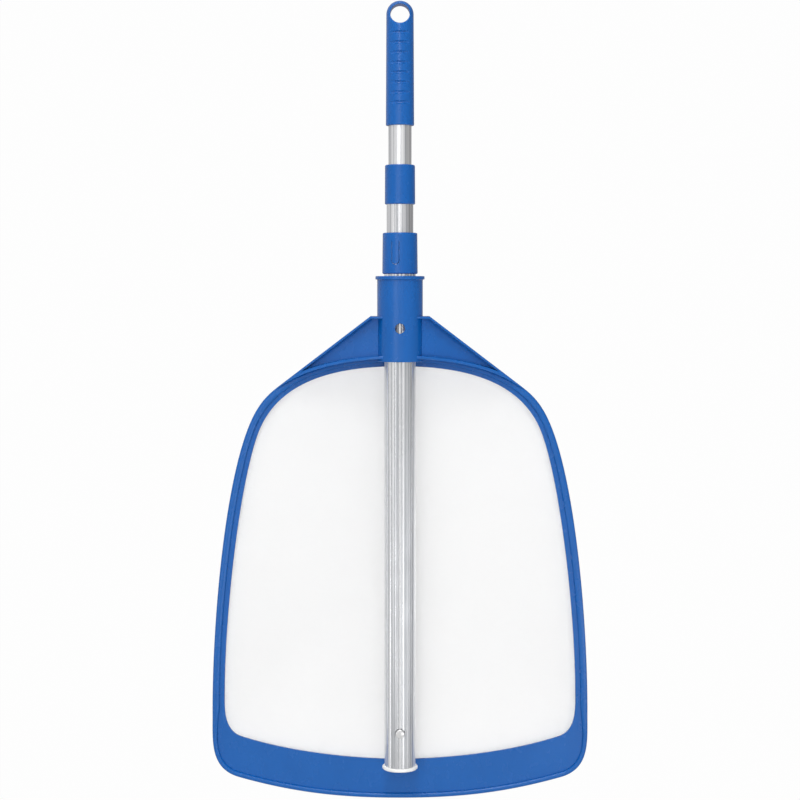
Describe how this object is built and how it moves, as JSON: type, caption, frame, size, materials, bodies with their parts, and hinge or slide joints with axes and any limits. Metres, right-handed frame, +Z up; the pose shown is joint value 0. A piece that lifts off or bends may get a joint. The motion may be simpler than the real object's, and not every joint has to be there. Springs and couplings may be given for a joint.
{
  "type": "leaf skimmer net",
  "caption": "Flat leaf skimmer: moulded hoop with a wide lip, gussets and a sliding collar, fine net, and a telescopic pole with twist locks, a grip and a hanging hole.",
  "frame": {"origin": "centre of the hanging hole, midway through the grip", "axes": "+Z up the pole towards the loop, -Y out of the front face, +X to the right seen from the front"},
  "size_m": [0.3702, 0.0645, 0.776],
  "materials": {
    "blue_plastic": "satin moulded polypropylene",
    "tube_aluminium": "bright drawn, fine lengthways lines",
    "nylon": "natural nylon",
    "lock_plastic": "matte moulded",
    "white_plastic": "satin moulded",
    "spring_steel": "plated",
    "net_mesh": "fine white knitted polyester mesh",
    "cord_rubber": "matte"
  },
  "bodies": {
    "handle": {"grip": "blue_plastic", "inner_tube": "tube_aluminium", "inner_lock_core": "nylon", "inner_lock_screw": "spring_steel"},
    "inner_lock": {"inner_lock_sleeve": "lock_plastic"},
    "inner_cone": {"inner_lock_nut": "nylon"},
    "middle_stage": {"middle_tube": "tube_aluminium", "upper_sleeve": "blue_plastic", "middle_lock_core": "nylon", "middle_lock_screw": "spring_steel"},
    "middle_lock": {"middle_lock_sleeve": "lock_plastic"},
    "middle_cone": {"middle_lock_nut": "nylon"},
    "outer_stage": {"outer_tube": "tube_aluminium", "lower_sleeve": "blue_plastic", "end_plug": "white_plastic", "snap_spring": "spring_steel"},
    "button": {"snap_button": "spring_steel"},
    "head": {"scoop_frame": "blue_plastic", "leaf_net": "net_mesh", "net_hem": "net_mesh", "net_spline": "cord_rubber"}
  },
  "joints": [
    {"name": "inner_twist", "type": "hinge", "parent": "handle", "child": "inner_lock", "pos_m": [0, 0, -0.47], "axis": [0, 0, 1], "range_deg": [0, 180]},
    {"name": "inner_cone_travel", "type": "slide", "parent": "inner_lock", "child": "inner_cone", "axis": [0, 0, 1], "range_m": [0, 0.0011]},
    {"name": "inner_extend", "type": "slide", "parent": "inner_lock", "child": "middle_stage", "axis": [0, 0, -1], "range_m": [-0.0365, 0.278]},
    {"name": "middle_twist", "type": "hinge", "parent": "middle_stage", "child": "middle_lock", "pos_m": [0, 0, -0.572], "axis": [0, 0, 1], "range_deg": [0, 180]},
    {"name": "middle_cone_travel", "type": "slide", "parent": "middle_lock", "child": "middle_cone", "axis": [0, 0, 1], "range_m": [0, 0.0011]},
    {"name": "outer_extend", "type": "slide", "parent": "middle_lock", "child": "outer_stage", "axis": [0, 0, -1], "range_m": [-0.0262, 0.3165]},
    {"name": "head_slide", "type": "slide", "parent": "outer_stage", "child": "head", "axis": [0, 0, -1], "range_m": [0, 0.3916]},
    {"name": "button_press", "type": "slide", "parent": "outer_stage", "child": "button", "axis": [0, 1, 0], "range_m": [0, 0.0038], "stiffness_N_per_m": 900, "deforming": ["snap_spring"]}
  ],
  "couplings": [
    {"joint": "inner_cone_travel", "follows": "inner_twist", "m_per_rad": 0.00032},
    {"joint": "middle_cone_travel", "follows": "middle_twist", "m_per_rad": 0.00032}
  ]
}
